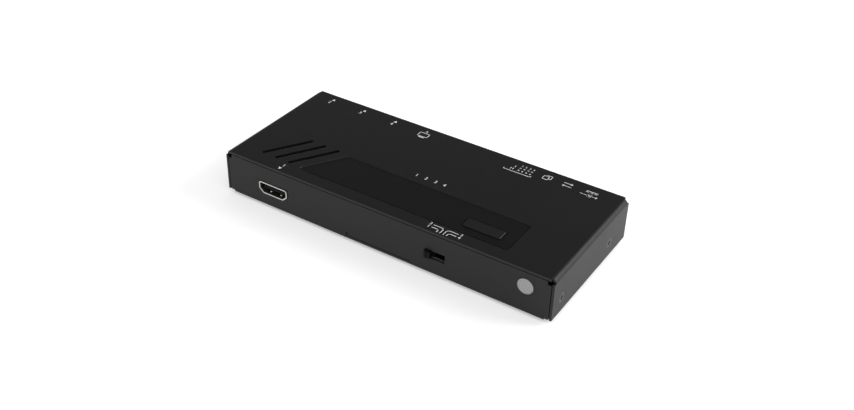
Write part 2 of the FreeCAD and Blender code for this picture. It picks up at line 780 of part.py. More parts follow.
def port_shell():
    """Drawn steel shell of a receptacle, with spring fingers above and below."""
    shell = prism(grown(mouth(), SHELL_T), "XZ", 0, SHELL_L)
    shell = shell.cut(prism(mouth(), "XZ", -SHEET, SHELL_L + SHEET))
    cutters = []
    dimples = []
    high = (MOUTH_H / 2 - SHELL_T, MOUTH_H / 2 + 2 * SHELL_T)
    low = (-MOUTH_H / 2 - 2 * SHELL_T, -MOUTH_H / 2 + SHELL_T)
    for side in (-1, 1):
        x = side * FINGER_SPREAD / 2
        cutters += finger_cutters(x, high) + finger_cutters(x, low)
        start = FINGER_FROM_RIM + FINGER_CUT
        ridge = [(start, -MOUTH_H / 2, 0), (start + FINGER_W, -MOUTH_H / 2, 0)]
        ridge.append((start + FINGER_W / 2, -MOUTH_H / 2 + DIMPLE_H, 0))
        dimples.append(prism(ridge, "YZ", *span(x, FINGER_W - FINGER_CUT)))
    return shell.cut(cutters).fuse(dimples).removeSplitter()


def port_insert():
    """Black insulator: a plug in the back of the shell and the tongue."""
    plug = prism(grown(mouth(), -SOLDER_GAP / 2), "XZ", SHELL_L - INSERT_L, SHELL_L)
    tongue = box(span(0, TONGUE_W), (TONGUE_SETBACK, SHELL_L - INSERT_L), span(0, TONGUE_T))
    return plug.fuse(tongue).removeSplitter()


def port_contacts():
    """Thin contact strips on both faces of the tongue."""
    strips = []
    rows = (
        (UPPER_CONTACT_COUNT, TONGUE_T / 2, TONGUE_T / 2 + CONTACT_T),
        (LOWER_CONTACT_COUNT, -TONGUE_T / 2 - CONTACT_T, -TONGUE_T / 2),
    )
    for count, low, high in rows:
        for index in range(count):
            x = CONTACT_PITCH * (index - (count - 1) / 2)
            y = (TONGUE_SETBACK + CONTACT_W, SHELL_L - INSERT_L)
            strips.append(box(span(x, CONTACT_W), y, (low, high)))
    return strips


def port_placed(shape, x, rear):
    """A receptacle piece moved to its wall, facing out of it."""
    copy = shape.copy()
    if rear:
        copy.rotate(V(0, 0, 0), V(0, 0, 1), 180)
        copy.translate(V(x, REAR + SHELL_PROUD, PORT_Z))
    else:
        copy.translate(V(x, FRONT - SHELL_PROUD, PORT_Z))
    return copy


def save_ports():
    """Five receptacles: input 1 at the front, the rest along the rear."""
    places = [("hdmi_in_1", -END + FRONT_PORT_FROM_END, False)]
    names = ("hdmi_in_2", "hdmi_in_3", "hdmi_in_4", "hdmi_out")
    places += [(name, x, True) for name, x in zip(names, rear_port_places())]
    shell = port_shell()
    insert = port_insert()
    contacts = port_contacts()
    for name, x, rear in places:
        save(name + "_shell", port_placed(shell, x, rear))
        save(name + "_insert", port_placed(insert, x, rear))
        save(name + "_contacts", [port_placed(strip, x, rear) for strip in contacts])


def dip_switch_body():
    """Base of the option switch, with a slot for each slider."""
    front = BACK_SEAT - DIP_BODY_D
    body = box(span(DIP_X, DIP_BODY_W), (front, BACK_SEAT), (BOARD_TOP, BOARD_TOP + DIP_BODY_H))
    slots = []
    slot_h = DIP_SLIDER_H + DIP_TRAVEL + 2 * DIP_FIT
    for index in range(DIP_COUNT):
        x = DIP_FIRST_X + DIP_PITCH * index
        y = (BACK_SEAT - DIP_SLOT_DEPTH, BACK_SEAT + SHEET)
        slots.append(box(span(x, DIP_SLIDER_W + 2 * DIP_FIT), y, span(DIP_Z, slot_h)))
    return body.cut(slots)


def dip_slider(index):
    """One slider of the option switch, at the lower end of its slot."""
    x = DIP_FIRST_X + DIP_PITCH * index
    y = (BACK_SEAT + DIP_SLIDER_PROUD - DIP_SLIDER_L - DIP_FIT, BACK_SEAT + DIP_SLIDER_PROUD)
    slider = box(span(x, DIP_SLIDER_W), y, span(DIP_SLIDER_Z, DIP_SLIDER_H))
    tip = [edge for edge in slider.Edges if edge.BoundBox.YMin > BACK_SEAT]
    return slider.makeChamfer(DIP_FIT * 2, tip)


def copy_point(y):
    """Point on the copy button's axis."""
    return V(COPY_X, y, COPY_AXIS_Z)


def copy_switch_body():
    """Upright press switch behind the rear wall, with a bore for the copy button."""
    y = (BACK_SEAT - COPY_SWITCH_D, BACK_SEAT)
    body = box(span(COPY_X, SWITCH_W), y, (BOARD_TOP, COPY_AXIS_Z + SWITCH_W / 2))
    depth = PLUNGER_INSIDE + PRESS + PRESS_ROOM
    return body.cut(rod(COPY_R + PLUNGER_FIT, copy_point(BACK_SEAT - depth), copy_point(REAR)))


def copy_button():
    """Round plunger through the rear wall."""
    tip = REAR + COPY_PROUD
    plunger = rod(COPY_R, copy_point(BACK_SEAT - PLUNGER_INSIDE), copy_point(tip))
    rim = [edge for edge in plunger.Edges if edge.BoundBox.YMin > REAR]
    return plunger.makeChamfer(PLUNGER_FIT * 2, rim)


def serial_jack_body():
    """Block of the 3.5 mm jack, bored for the plug."""
    y = (BACK_SEAT - SERIAL_D, BACK_SEAT - SHEET)
    body = box(span(SERIAL_X, SERIAL_W), y, (BOARD_TOP, BOARD_TOP + SERIAL_H))
    start = V(SERIAL_X, y[0] + SERIAL_BACK_WALL, SERIAL_Z)
    return body.cut(rod(SERIAL_BORE_R, start, V(SERIAL_X, REAR, SERIAL_Z)))


def serial_jack_collar():
    """Plated collar of the 3.5 mm jack, through the rear wall."""
    start = V(SERIAL_X, BACK_SEAT - SHEET, SERIAL_Z)
    end = V(SERIAL_X, REAR + SERIAL_PROUD, SERIAL_Z)
    return rod(SERIAL_COLLAR_R - JACK_HOLE_GAP, start, end).cut(rod(SERIAL_BORE_R, start, end))


def power_point(y):
    """Point on the power jack's axis."""
    return V(POWER_X, y, POWER_AXIS_Z)


def power_jack_body():
    """Block and round snout of the power jack, bored for the plug."""
    y = (BACK_SEAT - POWER_D, BACK_SEAT)
    body = box(span(POWER_X, POWER_W), y, (BOARD_TOP, BOARD_TOP + POWER_H))
    snout = rod(POWER_SNOUT_R, power_point(BACK_SEAT), power_point(REAR))
    bore = rod(POWER_BORE_R, power_point(REAR - POWER_BORE_L), power_point(REAR + SHEET))
    return body.fuse(snout).cut(bore).removeSplitter()


def power_jack_pin():
    """Centre pin of the power jack."""
    pin = rod(POWER_PIN_R, power_point(REAR - POWER_BORE_L), power_point(REAR - SHEET))
    tip = [edge for edge in pin.Edges if edge.BoundBox.YMin > REAR - SHEET - POWER_SLEEVE_T]
    return pin.makeChamfer(POWER_PIN_R / 2, tip)


def power_jack_sleeve():
    """Spring sleeve that lines the power jack's bore."""
    start = power_point(REAR - POWER_BORE_L)
    end = power_point(REAR - POWER_BORE_L + POWER_SLEEVE_L)
    return rod(POWER_BORE_R, start, end).cut(rod(POWER_BORE_R - POWER_SLEEVE_T, start, end))


def board_screw_places():
    """Centres of the board's fastenings."""
    reach = END - BOARD_SCREW_FROM_END
    return [(side * reach, y) for side in (-1, 1) for y in BOARD_SCREW_Y]


def circuit_board():
    """Main board, holed for its screws."""
    half = END - SHEET - BOARD_END_GAP
    y = (FRONT_INNER + BOARD_EDGE_GAP, REAR_INNER - BOARD_EDGE_GAP)
    board = box((-half, half), y, (BOARD_LOW, BOARD_TOP))
    holes = []
    for x, hole_y in board_screw_places():
        holes.append(rod(BOARD_SCREW_R + SCREW_FIT, V(x, hole_y, BASE), V(x, hole_y, TOP)))
    return board.cut(holes)


def board_standoffs():
    """Six-sided pillars between the tray's floor and the board."""
    pillars = []
    for x, y in board_screw_places():
        points = []
        for index in range(7):
            angle = math.radians(60 * index)
            arm = V(math.cos(angle), math.sin(angle), 0) * STANDOFF_R
            points.append(V(x, y, BASE + SHEET) + arm)
        pillar = Part.Face(Part.makePolygon(points)).extrude(V(0, 0, STANDOFF_H))
        hole = rod(BOARD_SCREW_R + SCREW_FIT, V(x, y, BASE + SHEET), V(x, y, BOARD_TOP))
        pillars.append(pillar.cut(hole))
    return pillars


def board_screws():
    """Pan-head screws that hold the board to its pillars."""
    screws = []
    for x, y in board_screw_places():
        head = rod(BOARD_SCREW_HEAD_R, V(x, y, BOARD_TOP), V(x, y, BOARD_TOP + BOARD_SCREW_HEAD_H))
        shank = rod(BOARD_SCREW_R, V(x, y, BASE + SHEET + SOLDER_GAP), V(x, y, BOARD_TOP))
        screws.append(head.fuse(shank).removeSplitter())
    return screws


def switch_chip():
    """Square signal-switch chip under the heat sink."""
    return box(span(CHIP_X, CHIP_W), span(CHIP_Y, CHIP_W), (BOARD_TOP, BOARD_TOP + CHIP_T))


def thermal_pad():
    """Soft pad between the chip and the heat sink."""
    low = BOARD_TOP + CHIP_T
    return box(span(CHIP_X, CHIP_W), span(CHIP_Y, CHIP_W), (low, low + PAD_T))


def heat_sink():
    """Finned block below the vents."""
    low = BOARD_TOP + CHIP_T + PAD_T
    fin_low = low + SINK_BASE
    sink = box(span(CHIP_X, SINK_W), span(CHIP_Y, SINK_W), (low, fin_low))
    pitch = (SINK_W - SINK_FIN_T) / (SINK_FINS - 1)
    fins = []
    for index in range(SINK_FINS):
        x = CHIP_X + pitch * (index - (SINK_FINS - 1) / 2)
        fins.append(box(span(x, SINK_FIN_T), span(CHIP_Y, SINK_W), (fin_low, fin_low + SINK_FIN_H)))
    return sink.fuse(fins).removeSplitter()


def control_chip():
    """Square control chip."""
    return box(span(CONTROL_X, CONTROL_W), span(CONTROL_Y, CONTROL_W), (BOARD_TOP, BOARD_TOP + CONTROL_T))


def capacitors():
    """Can capacitors on square bases, beside the power jack."""
    cans = []
    for index in range(CAN_COUNT):
        x = END - CAN_FROM_END + CAN_PITCH * index
        foot = box(span(x, 2 * CAN_R), span(CAN_Y, 2 * CAN_R), (BOARD_TOP, BOARD_TOP + CAN_BASE_T))
        can = rod(CAN_R, V(x, CAN_Y, BOARD_TOP + CAN_BASE_T), V(x, CAN_Y, BOARD_TOP + CAN_H))
        cans.append(foot.fuse(can).removeSplitter())
    return cans


def power_inductor():
    """Power coil: square block with a round core on top."""
    low = BOARD_TOP + COIL_T - COIL_CORE_T
    block = box(span(COIL_X, COIL_W), span(COIL_Y, COIL_W), (BOARD_TOP, low))
    core = rod(COIL_R, V(COIL_X, COIL_Y, low), V(COIL_X, COIL_Y, BOARD_TOP + COIL_T))
    return block.fuse(core).removeSplitter()


def crystal():
    """Clock crystal in a round-ended can."""
    corners = rectangle(CRYSTAL_X, CRYSTAL_Y, CRYSTAL_L, CRYSTAL_W, CRYSTAL_W / 2 - CROSS_W / 2)
    return prism(corners, "XY", BOARD_TOP, BOARD_TOP + CRYSTAL_H)


def status_leds():
    """Four lamps in a row on the board."""
    lamps = []
    for index in range(LED_COUNT):
        x = LED_X + LED_PITCH * index
        lamps.append(box(span(x, LED_W), span(LED_Y, LED_D), (BOARD_TOP, BOARD_TOP + LED_H)))
    return lamps


def light_pipe():
    """Clear moulding that carries the four lamps' light up to the film."""
    low = BOARD_TOP + LED_H + LED_GAP
    bar_high = PAD_LOW - PIPE_BAR_DROP
    bar_x = (LED_X - PIPE_BAR_W / 2, LED_X + LED_PITCH * (LED_COUNT - 1) + PIPE_BAR_W / 2)
    bar = box(bar_x, span(LED_Y, PIPE_BAR_W), (bar_high - PIPE_BAR_T, bar_high))
    pins = []
    for index in range(LED_COUNT):
        x = LED_X + LED_PITCH * index
        pins.append(box(span(x, PIPE_W), span(LED_Y, PIPE_W), (low, RECESS_Z)))
    return bar.fuse(pins).removeSplitter()


def main():
    """Build every piece and write it to its own file."""
    os.makedirs("parts", exist_ok=True)
    up = V(0, 0, 1)
    forward = V(0, -1, 0)
    select_seat = V(SELECT_X, SELECT_Y, BOARD_TOP)
    standby_seat = standby_point(standby_levels()[3])
    save("top_cover", top_cover())
    save("chassis", chassis())
    save("cover_screws", cover_screws())
    save("rubber_feet", rubber_feet())
    save("panel_overlay", panel_overlay())
    save("select_button", select_button())
    save("select_switch_body", switch_body(select_seat, up))
    save("select_switch_plunger", switch_plunger(select_seat, up))
    save("standby_button", standby_button())
    save("standby_switch_body", switch_body(standby_seat, forward))
    save("standby_switch_plunger", switch_plunger(standby_seat, forward))
    save("standby_board", standby_board())
    save("standby_led", standby_led())
    save("mode_switch_body", mode_switch_body())
    save("mode_switch_frame", mode_switch_frame())
    save("mode_switch_knob", mode_switch_knob())
    save("mode_switch_contacts", mode_switch_contacts())
    save_ports()
    save("dip_switch_body", dip_switch_body())
    for index in range(DIP_COUNT):
        save("dip_slider_" + str(index + 1), dip_slider(index))
    save("copy_switch_body", copy_switch_body())
    save("copy_button", copy_button())
    save("serial_jack_body", serial_jack_body())
    save("serial_jack_collar", serial_jack_collar())
    save("power_jack_body", power_jack_body())
    save("power_jack_pin", power_jack_pin())
    save("power_jack_sleeve", power_jack_sleeve())
    save("circuit_board", circuit_board())
    save("board_standoffs", board_standoffs())
    save("board_screws", board_screws())
    save("switch_chip", switch_chip())
    save("thermal_pad", thermal_pad())
    save("heat_sink", heat_sink())
    save("control_chip", control_chip())
    save("capacitors", capacitors())
    save("power_inductor", power_inductor())
    save("crystal", crystal())
    save("status_leds", status_leds())
    save("light_pipe", light_pipe())


main()
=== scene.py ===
"""Finishes, printed marks and studio for a flat black video switch box.

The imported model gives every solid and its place. This script adds the thin print on the
case, gives each solid its finish, and sets a plain pale studio with the photograph's camera.
"""

import json
import math

import bmesh
import bpy
from mathutils import Matrix, Vector


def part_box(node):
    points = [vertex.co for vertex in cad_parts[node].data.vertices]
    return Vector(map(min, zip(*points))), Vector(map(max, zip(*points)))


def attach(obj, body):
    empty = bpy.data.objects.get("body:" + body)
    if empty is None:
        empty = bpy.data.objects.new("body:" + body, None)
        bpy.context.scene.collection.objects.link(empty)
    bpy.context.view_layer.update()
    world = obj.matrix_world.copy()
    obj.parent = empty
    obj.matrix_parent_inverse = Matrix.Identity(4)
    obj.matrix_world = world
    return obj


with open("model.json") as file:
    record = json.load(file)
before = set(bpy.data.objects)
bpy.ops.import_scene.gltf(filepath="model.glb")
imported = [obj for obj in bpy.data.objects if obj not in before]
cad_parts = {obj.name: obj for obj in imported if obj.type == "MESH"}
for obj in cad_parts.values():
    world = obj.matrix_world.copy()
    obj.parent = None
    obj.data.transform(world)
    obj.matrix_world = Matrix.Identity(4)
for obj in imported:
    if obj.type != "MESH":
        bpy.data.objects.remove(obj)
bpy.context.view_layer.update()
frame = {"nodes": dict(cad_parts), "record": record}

bl_info = {
    "name": "Video Switch Box",
    "version": (1, 0, 0),
    "blender": (4, 5, 0),
    "location": "View3D > Sidebar > Switch Box",
    "description": "Finishes, printed marks and studio for a flat black video switch box",
    "category": "Object",
}

MM = 0.001
_, COVER_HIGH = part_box("top_cover")

# Powder coat: how deep its grain is, and where a painted highlight lightens the cover's cut edges
# along the top.
GRAIN_DEPTH = 0.012 * MM
PEEL_DEPTH = 0.02 * MM
PEEL_PER_GRAIN = 6
HIGHLIGHT_BAND = 0.22 * MM
HIGHLIGHT_DROP = 1.25 * MM

# Standby button: its rings, measured from the middle, and the flange behind the sheet. The rings
# get a painted highlight and the grooves painted shade.
FIRST_GROOVE = 0.9 * MM
GROOVE_PITCH = 0.7 * MM
STANDBY_FLANGE = 1.0 * MM
# Width of the painted shadow ring just inside the button's edge, where the gap around it falls
# dark.
PAINTED_RIM_SHADOW = 0.16 * MM

# Spring fingers in each socket's lower wall: the polished tips.
SOCKET_WALL = 0.5 * MM
TIP_SPREAD = 2.72 * MM
TIP_DEPTH = 2.45 * MM
TIP_R = 0.55 * MM
TIP_ROOT = 0.1 * MM
TIP_STRETCH = (1, 1.2, 0.85, 1)

# Tray's lower folds: the section filled outside each, in millimetres inwards and up.
FOLD_FROM_END = 2.3 * MM
FOLD_SECTION = ((0, 1.42), (0, 0.45), (0.13, 0.13), (0.45, 0), (1.5, 0), (1.5, 0.1),
                (0.7, 0.36), (0.25, 0.8), (0.08, 1.42))

# Circuit board: the stops of the noise at which a track begins and ends.
TRACK_STOPS = ((0.47, 0), (0.49, 1), (0.51, 1), (0.53, 0))

# Print, in millimetres from the middle of the case.
LINE_OVERLAP = 0.98
RING_STEPS = 18
FONT_SIZE_PER_FIGURE = 1.38
REAR_INPUT_MARKS = (  # figure, arrow x, arrow y, figure x, figure y
    ("2", -68.1, 28.9, -68.7, 26.5),
    ("3", -50.5, 28.9, -51.4, 26.6),
    ("4", -33.4, 28.9, -34.0, 26.6),
)
SCREEN_SIGN = ((-19.3, 25.3), (-19.3, 28.3), (-14.5, 28.3), (-14.5, 25.3), (-19.3, 25.3))
SOURCE_FIGURES = (("1", -1.4), ("2", 3.3), ("3", 8.0), ("4", 12.3))
SOURCE_FIGURES_Y = -2.35
OPTION_COLUMNS = (32.0, 33.8, 35.7, 37.5)
OPTION_FIGURE = 1.15 * MM
OPTION_BRACKET = (
    ((25.6, 23.6), (38.6, 23.6)),
    ((25.6, 23.6), (25.6, 24.3)),
    ((38.6, 23.6), (38.6, 24.3)),
)
SLIDER_LINES = (
    ((23.9, -30.2), (26.6, -30.2), (27.1, -30.6), (27.1, -31.9)),
    ((23.9, -28.5), (27.9, -28.5), (28.6, -29.2), (28.6, -31.9)),
    ((35.0, -28.5), (31.0, -28.5), (30.2, -29.3), (30.2, -31.9)),
    ((35.0, -30.2), (32.2, -30.2), (31.7, -30.7), (31.7, -31.9)),
)
SLIDER_FIGURES = (("1", 22.4, -30.3), ("2", 22.4, -28.3), ("3", 36.5, -28.3), ("4", 36.5, -30.3))
SLIDER_FIGURE = 1.55 * MM
COPY_SIGN = (
    ((43.0, 25.9), (43.0, 28.4), (45.4, 28.4), (45.4, 25.9), (43.0, 25.9)),
    ((44.2, 28.4), (44.2, 29.2), (46.6, 29.2), (46.6, 26.7), (45.4, 26.7)),
)
SERIAL_SIGN = (
    ((52.4, 28.4), (56.4, 28.4)),
    ((55.7, 28.9), (56.4, 28.4), (55.7, 27.9)),
    ((56.4, 26.3), (52.4, 26.3)),
    ((53.1, 26.8), (52.4, 26.3), (53.1, 25.8)),
)
POWER_MIDDLE = (65.4, 25.2)
POWER_SIGN = (
    (POWER_MIDDLE, (67.3, 25.2)),
    ((62.9, 25.2), (64.2, 25.2)),
    ((61.3, 25.2), (62.3, 25.2)),
    ((67.9, 25.2), (68.9, 25.2)),
    ((68.4, 24.7), (68.4, 25.7)),
    ((62.9, 28.4), (67.9, 28.4)),
)
POWER_DASHES = (62.9, 64.85, 66.8)
POWER_DASHES_Y = 27.6
POWER_DASH = 1.1

# Studio, in metres and degrees. The camera's place and angles were solved from the photograph.
CAMERA_PLACE = (0.2076, -0.33016, 0.27495)
CAMERA_AZIMUTH, CAMERA_ELEVATION, CAMERA_ROLL = 31.836, 34.609, 1.725
SENSOR_WIDTH_MM = 36
NEAREST_SEEN = 0.02
FLOOR_SIZE = 3
FLOOR_GLOW = 0.36
ROOM_LIGHT = 0.50
ROOM_BY_HEIGHT = ((0.10, 1.0), (0.34, 0.16), (0.80, 0.10), (1.0, 0.10))
LAMPS = (  # name, setting with its power, size, place, target
    ("overhead lamp", "overhead_power", (1.5, 0.7), (0.05, -0.45, 0.85), (0.05, -0.1, 0)),
    ("side lamp", "side_power", (0.5, 0.5), (0.62, 0.42, 0.42), (0.14, 0.03, 0)),
)


class CasePaint(bpy.types.PropertyGroup):
    """Powder coat of the folded cover and the tray"""

    colour: bpy.props.FloatVectorProperty(
        name="Paint", description="Colour of the powder coat", subtype="COLOR",
        size=3, min=0, max=1, default=(0.0062, 0.0062, 0.0072))
    roughness: bpy.props.FloatProperty(
        name="Roughness", description="How satin the powder coat is", subtype="FACTOR",
        min=0, max=1, default=0.46)
    grain: bpy.props.FloatProperty(
        name="Grain", description="Size of the powder coat's grain", unit="LENGTH",
        min=0.00005, max=0.002, default=0.00028)
    edge_radius: bpy.props.FloatProperty(
        name="Edge radius", description="How far the coat rounds the sheet's edges in light",
        unit="LENGTH", min=0, max=0.001, default=0.00028)
    # Strength of the painted highlight that lightens the cover's cut edges along the top.
    edge_wear: bpy.props.FloatProperty(
        name="Edge highlight", description="How strong the painted highlight is along the cut edges",
        subtype="FACTOR", min=0, max=1, default=0.55)


class ControlLook(bpy.types.PropertyGroup):
    """Film, buttons and sliders"""

    film_colour: bpy.props.FloatVectorProperty(
        name="Film", description="Colour of the film in the recess", subtype="COLOR",
        size=3, min=0, max=1, default=(0.0032, 0.0032, 0.0035))
    button_colour: bpy.props.FloatVectorProperty(
        name="Standby button", description="Colour of the ringed standby button", subtype="COLOR",
        size=3, min=0, max=1, default=(0.44, 0.44, 0.455))


class PrintLook(bpy.types.PropertyGroup):
    """Screen print on the case"""

    ink: bpy.props.FloatVectorProperty(
        name="Ink", description="Colour of the screen print", subtype="COLOR",
        size=3, min=0, max=1, default=(0.74, 0.74, 0.74))
    figure_height: bpy.props.FloatProperty(
        name="Figure height", description="Height of the printed numbers", unit="LENGTH",
        min=0.0008, max=0.004, default=0.0019)
    line_width: bpy.props.FloatProperty(
        name="Line width", description="Width of the printed lines", unit="LENGTH",
        min=0.0001, max=0.001, default=0.00027)
    ink_height: bpy.props.FloatProperty(
        name="Ink height", description="How far the ink stands above the paint", unit="LENGTH",
        min=0.00001, max=0.00009, default=0.00003)


class StudioLook(bpy.types.PropertyGroup):
    """Floor, lamps and camera"""

    floor_colour: bpy.props.FloatVectorProperty(
        name="Floor", description="Colour of the pale floor", subtype="COLOR",
        size=3, min=0, max=1, default=(0.80, 0.80, 0.80))
    overhead_power: bpy.props.FloatProperty(
        name="Overhead lamp", description="Power of the soft lamp above the front", unit="POWER",
        min=0, max=50, default=4.0)
    side_power: bpy.props.FloatProperty(
        name="Side lamp", description="Power of the soft lamp at the right-hand end", unit="POWER",
        min=0, max=50, default=5.4)
    lens: bpy.props.FloatProperty(
        name="Lens", description="Focal length on a 36 mm wide sensor", unit="CAMERA",
        min=10, max=200, default=46.489)


class Wire:
    """A socket that carries a number, on which Python arithmetic adds Math nodes."""

    def __init__(self, finish, socket):
        self.finish = finish
        self.socket = socket

    def math(self, operation, *values):
        return self.finish.node(
            "ShaderNodeMath", {"operation": operation}, dict(enumerate(values)))

    def __add__(self, other):
        return self.math("ADD", self, other)

    def __radd__(self, other):
        return self.math("ADD", other, self)

    def __sub__(self, other):
        return self.math("SUBTRACT", self, other)

    def __rsub__(self, other):
        return self.math("SUBTRACT", other, self)

    def __mul__(self, other):
        return self.math("MULTIPLY", self, other)

    def __rmul__(self, other):
        return self.math("MULTIPLY", other, self)

    def __gt__(self, other):
        return self.math("GREATER_THAN", self, other)

    def __lt__(self, other):
        return self.math("LESS_THAN", self, other)

    def largest(self, other):
        return self.math("MAXIMUM", self, other)

    def size(self):
        return self.math("ABSOLUTE", self)

    def root(self):
        return self.math("SQRT", self)

    def cosine(self):
        return self.math("COSINE", self)


class Finish:
    """A node tree being built, for a material or the world."""

    def __init__(self, owner):
        owner.use_nodes = True
        self.owner = owner
        self.tree = owner.node_tree
        self.shader = self.tree.nodes.get("Principled BSDF")

    def node(self, kind, settings=(), values=(), output=0):
        """Adds a node with its settings, then its socket values or links, and returns an output."""
        added = self.tree.nodes.new(kind)
        for name, value in dict(settings).items():
            if name == "stops":
                self.set_stops(added.color_ramp, value)
            else:
                setattr(added, name, value)
        for name, value in dict(values).items():
            self.give(added.inputs[name], value)
        return Wire(self, added.outputs[output])

    def set_stops(self, ramp, stops):
        while len(ramp.elements) < len(stops):
            ramp.elements.new(1.0)
        for element, (position, grey) in zip(ramp.elements, stops):
            element.position = position
            element.color = (grey, grey, grey, 1)

    def give(self, socket, value):
        if isinstance(value, Wire):
            self.tree.links.new(value.socket, socket)
        else:
            socket.default_value = value

    def set(self, **values):
        """Gives the Principled shader's sockets values or links, with underscores for spaces."""
        for name, value in values.items():
            self.give(self.shader.inputs[name.replace("_", " ")], value)

    def place(self, stretch=(1, 1, 1)):
        """Object coordinates, scaled along each axis."""
        here = self.node("ShaderNodeTexCoord", output="Object")
        return self.node("ShaderNodeMapping", values={"Vector": here, "Scale": stretch})

    def axis(self, name):
        """The X, Y or Z of the object coordinates, in metres."""
        here = self.node("ShaderNodeTexCoord", output="Object")
        return self.node("ShaderNodeSeparateXYZ", values={0: here}, output=name)

    def noise(self, feature, detail=2, stretch=(1, 1, 1)):
        """Smooth noise from 0 to 1, with features of that size in metres."""
        return self.node("ShaderNodeTexNoise", values={
            "Vector": self.place(stretch), "Scale": 1 / feature, "Detail": detail,
            "Roughness": 0.55})

    def cells(self, feature):
        """Distance to the nearest of scattered points, in cells of that size."""
        return self.node("ShaderNodeTexVoronoi", values={
            "Vector": self.place(), "Scale": 1 / feature}, output="Distance")

    def blend(self, share, first, second):
        """A colour between the two: the first at 0 and the second at 1."""
        return self.node("ShaderNodeMix", {"data_type": "RGBA", "clamp_factor": True},
                         {0: share, 6: first, 7: second}, output=2)

    def ramp(self, value, stops):
        """A grey that follows the stops, as a number."""
        return self.node("ShaderNodeValToRGB", {"stops": stops}, {"Fac": value})

    def seen_by(self, *rays):
        """1 for a ray of one of those kinds, and 0 for any other."""
        share = self.node("ShaderNodeLightPath", output=f"Is {rays[0]} Ray")
        for ray in rays[1:]:
            share = share.largest(self.node("ShaderNodeLightPath", output=f"Is {ray} Ray"))
        return share

    def bump(self, height, depth, under=None):
        """A normal raised by the height, whose full range is the depth in metres."""
        values = {"Height": height, "Strength": 1.0, "Distance": depth}
        if under is not None:
            values["Normal"] = under
        return self.node("ShaderNodeBump", values=values)


def shade(colour, factor):
    """The colour made lighter or darker, with an alpha of 1."""
    return tuple(min(1.0, part * factor) for part in colour) + (1.0,)


def start_finish(name, roughness, metallic=0.0, specular=0.5):
    finish = Finish(bpy.data.materials.new(name))
    finish.set(Roughness=roughness, Metallic=metallic, Specular_IOR_Level=specular)
    return finish


def powder_coat(name, paint):
    """Fine satin powder coat: orange-peel grain, faint clouding, and a painted highlight along the
    cover's cut edges.
    """
    finish = start_finish(name, paint.roughness, specular=0.29)
    grain = finish.noise(paint.grain, 3)
    peel = finish.noise(paint.grain * PEEL_PER_GRAIN, 2)
    clouds = finish.noise(0.030, 3)
    rounded = finish.node("ShaderNodeBevel", {"samples": 6}, {"Radius": paint.edge_radius})
    plain = finish.blend(clouds, shade(paint.colour, 0.86), shade(paint.colour, 1.14))
    # Painted highlight: the cover's front and rear cut edges near the top are lightened in patches,
    # standing in for light caught by the edge.
    highlight_near_cut = finish.axis("Y").size() > COVER_HIGH.y - HIGHLIGHT_BAND
    highlight_near_top = finish.axis("Z") > COVER_HIGH.z - HIGHLIGHT_DROP
    patchy_highlight = 0.6 + 0.8 * finish.noise(0.004, 3)
    painted_edge_highlight = highlight_near_cut * highlight_near_top * patchy_highlight * paint.edge_wear
    finish.set(
        # Where the painted highlight falls, the base colour is lifted to 3.2 times the paint's.
        Base_Color=finish.blend(painted_edge_highlight, plain, shade(paint.colour, 3.2)),
        Roughness=paint.roughness - 0.05 + 0.10 * clouds,
        Normal=finish.bump(grain, GRAIN_DEPTH, finish.bump(peel, PEEL_DEPTH, rounded)))
    return finish.owner


def moulded(name, colour, roughness, grain=0.35 * MM, depth=0.012 * MM, spread=0.07,
            specular=0.4):
    """Moulded plastic or rubber with a spark-eroded grain, faint clouding and flow."""
    finish = start_finish(name, roughness, specular=specular)
    grain_height = finish.noise(grain, 3)
    flow = finish.noise(0.012, 2, (1, 1, 2.5))
    finish.set(
        Base_Color=finish.blend(flow, shade(colour, 1 - spread), shade(colour, 1 + spread)),
        Roughness=roughness - 0.04 + 0.08 * flow,
        Normal=finish.bump(grain_height, depth))
    return finish.owner


def drawn_metal(name, colour, roughness, stretch=(1, 1, 12), feature=4 * MM, depth=0.004 * MM,
                spread=0.10):
    """Rolled or plated metal with fine lines drawn one way and faint tarnish."""
    finish = start_finish(name, roughness, metallic=1.0)
    lines = finish.noise(feature, 4, stretch)
    tarnish = finish.noise(0.007, 3)
    finish.set(
        Base_Color=finish.blend(
            tarnish, shade(colour, 1 - spread), shade(colour, 1 + spread / 2)),
        Roughness=roughness - 0.06 + 0.12 * lines,
        Normal=finish.bump(lines, depth))
    return finish.owner


def panel_film(name, colour):
    """Fine satin film: tiny dimples under a thin even coat."""
    finish = start_finish(name, 0.42, specular=0.24)
    dimples = finish.cells(0.00022)
    clouds = finish.noise(0.02, 2)
    finish.set(
        Base_Color=finish.blend(clouds, shade(colour, 0.92), shade(colour, 1.08)),
        Roughness=0.38 + 0.08 * clouds,
        Normal=finish.bump(dimples, 0.000006))
    return finish.owner


def frosted_button(name, colour):
    """Frosted grey plastic with painted light: a painted highlight on the rings, painted shade in
    the grooves and a painted shadow at the rim.
    """
    finish = start_finish(name, 0.34, specular=0.5)
    low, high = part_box("standby_button")
    across = finish.axis("X") - (low.x + high.x) / 2
    up = finish.axis("Z") - (low.z + high.z) / 2
    radius = (across * across + up * up).root()
    # Painted light: dark stripes in the grooves and pale rings between them, standing in for how
    # the ridges catch light.
    phase = (radius - FIRST_GROOVE) * (2 * math.pi / GROOVE_PITCH)
    painted_groove_shade = 0.5 + 0.5 * phase.cosine()
    # Painted shadow: a dark ring just inside the rim, where the gap around the button falls in
    # shade.
    rim = radius > (high.x - low.x) / 2 - STANDBY_FLANGE - PAINTED_RIM_SHADOW
    frost = finish.noise(0.0002, 2)
    finish.set(
        Base_Color=finish.blend(painted_groove_shade.largest(rim), shade(colour, 1.5), shade(colour, 0.25)),
        Roughness=0.30 + 0.10 * frost,
        Normal=finish.bump(frost, 0.000008))
    return finish.owner


